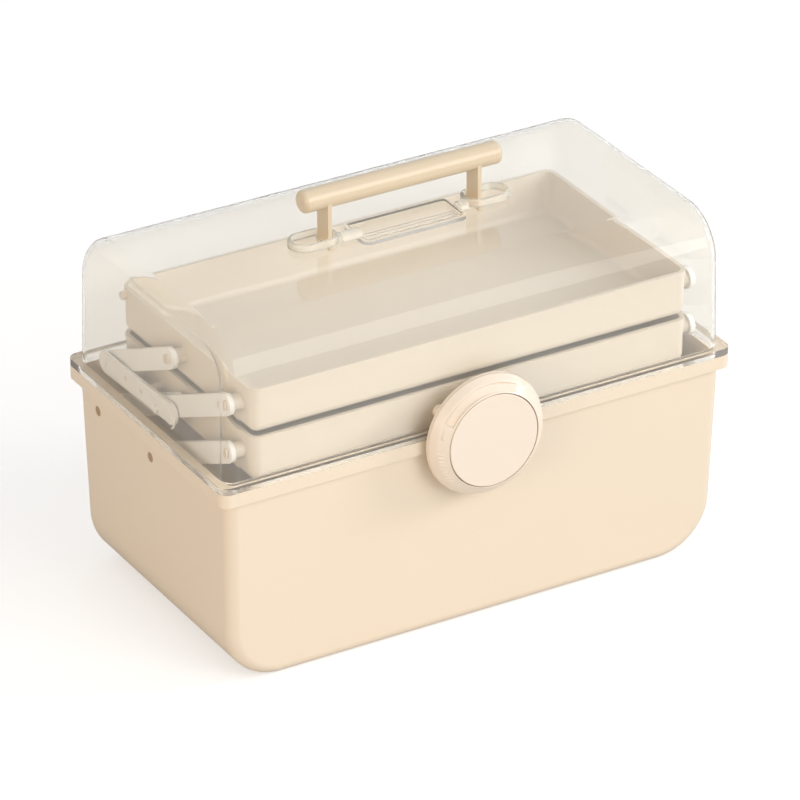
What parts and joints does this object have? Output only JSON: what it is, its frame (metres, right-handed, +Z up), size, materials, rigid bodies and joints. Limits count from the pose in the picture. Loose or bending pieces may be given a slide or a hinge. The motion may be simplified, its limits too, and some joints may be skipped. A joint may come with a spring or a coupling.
{
  "type": "first aid box",
  "caption": "Portable first aid box with a clear hinged lid, stacked cantilever trays on parallel arms, a pull-up carrying handle and a turning front latch.",
  "frame": {"origin": "middle of the tub's flat underside, on the surface that the box stands on", "axes": "+Z up, +X along the length to the right as seen from the front, -Y towards the latch side (the front)"},
  "size_m": [0.33, 0.2045, 0.2482],
  "materials": {
    "tub_plastic": "satin",
    "tray_plastic": "satin",
    "clear_plastic": "clear, glossy",
    "frosted_plastic": "translucent, satin",
    "handle_plastic": "satin",
    "latch_plastic": "satin",
    "pin_plastic": "satin",
    "steel": "bright"
  },
  "bodies": {
    "tub": {"tub_shell": "tub_plastic", "latch_strike": "tub_plastic", "arm_pin_rear_left": "pin_plastic", "arm_pin_front_left": "pin_plastic", "arm_pin_rear_right": "pin_plastic", "arm_pin_front_right": "pin_plastic", "hinge_pin_left": "steel", "hinge_pin_right": "steel"},
    "lid": {"lid_shell": "clear_plastic", "handle_bezel_left": "clear_plastic", "handle_bezel_right": "clear_plastic", "post_clip_left": "clear_plastic", "post_clip_right": "clear_plastic", "latch_base": "latch_plastic"},
    "handle": {"handle_grip": "handle_plastic", "grip_cap_left": "handle_plastic", "grip_cap_right": "handle_plastic", "handle_post_left": "handle_plastic", "handle_post_right": "handle_plastic"},
    "knob": {"latch_knob": "latch_plastic", "knob_face": "latch_plastic", "latch_crank": "latch_plastic", "latch_finger": "latch_plastic"},
    "lower_front_arms": {"lower_front_arm_left": "frosted_plastic", "lower_front_arm_right": "frosted_plastic"},
    "lower_rear_arms": {"lower_rear_arm_left": "frosted_plastic", "lower_rear_arm_right": "frosted_plastic"},
    "lower_tray": {"lower_tray": "tray_plastic", "side_plate_left": "frosted_plastic", "side_plate_right": "frosted_plastic"},
    "upper_front_arms": {"upper_front_arm_left": "frosted_plastic", "upper_front_arm_right": "frosted_plastic"},
    "upper_rear_arms": {"upper_rear_arm_left": "frosted_plastic", "upper_rear_arm_right": "frosted_plastic"},
    "upper_tray": {"upper_tray": "tray_plastic"}
  },
  "joints": [
    {"name": "lid_hinge", "type": "hinge", "parent": "tub", "child": "lid", "pos_m": [0, 0.0948, 0.127], "axis": [-1, 0, 0], "range_deg": [0, 105]},
    {"name": "lower_rear_arm_pivot", "type": "hinge", "parent": "tub", "child": "lower_rear_arms", "pos_m": [0, 0.064, 0.1067], "axis": [-1, 0, 0], "range_deg": [0, 52.5]},
    {"name": "lower_front_arm_pivot", "type": "hinge", "parent": "tub", "child": "lower_front_arms", "pos_m": [0, 0.002, 0.1067], "axis": [-1, 0, 0], "range_deg": [0, 52.5]},
    {"name": "lower_tray_pivot", "type": "hinge", "parent": "lower_rear_arms", "child": "lower_tray", "pos_m": [0, -0.00653, 0.14094], "axis": [-1, 0, 0], "range_deg": [-52.5, 0]},
    {"name": "upper_rear_arm_pivot", "type": "hinge", "parent": "lower_tray", "child": "upper_rear_arms", "pos_m": [0, 0.0652, 0.1356], "axis": [-1, 0, 0], "range_deg": [0, 52.5]},
    {"name": "upper_front_arm_pivot", "type": "hinge", "parent": "lower_tray", "child": "upper_front_arms", "pos_m": [0, 0.0032, 0.1356], "axis": [-1, 0, 0], "range_deg": [0, 52.5]},
    {"name": "upper_tray_pivot", "type": "hinge", "parent": "upper_rear_arms", "child": "upper_tray", "pos_m": [0, -0.00532, 0.16984], "axis": [-1, 0, 0], "range_deg": [-52.5, 0]},
    {"name": "handle_slide", "type": "slide", "parent": "lid", "child": "handle", "axis": [0, 0, -1], "range_m": [0, 0.016]},
    {"name": "knob_turn", "type": "hinge", "parent": "lid", "child": "knob", "pos_m": [-0.0019, -0.098, 0.1247], "axis": [0, 1, 0], "range_deg": [0, 90]}
  ],
  "couplings": [
    {"joint": "lower_rear_arm_pivot", "follows": "lid_hinge", "ratio": 0.5},
    {"joint": "lower_front_arm_pivot", "follows": "lid_hinge", "ratio": 0.5},
    {"joint": "lower_tray_pivot", "follows": "lid_hinge", "ratio": -0.5},
    {"joint": "upper_rear_arm_pivot", "follows": "lid_hinge", "ratio": 0.5},
    {"joint": "upper_front_arm_pivot", "follows": "lid_hinge", "ratio": 0.5},
    {"joint": "upper_tray_pivot", "follows": "lid_hinge", "ratio": -0.5}
  ]
}
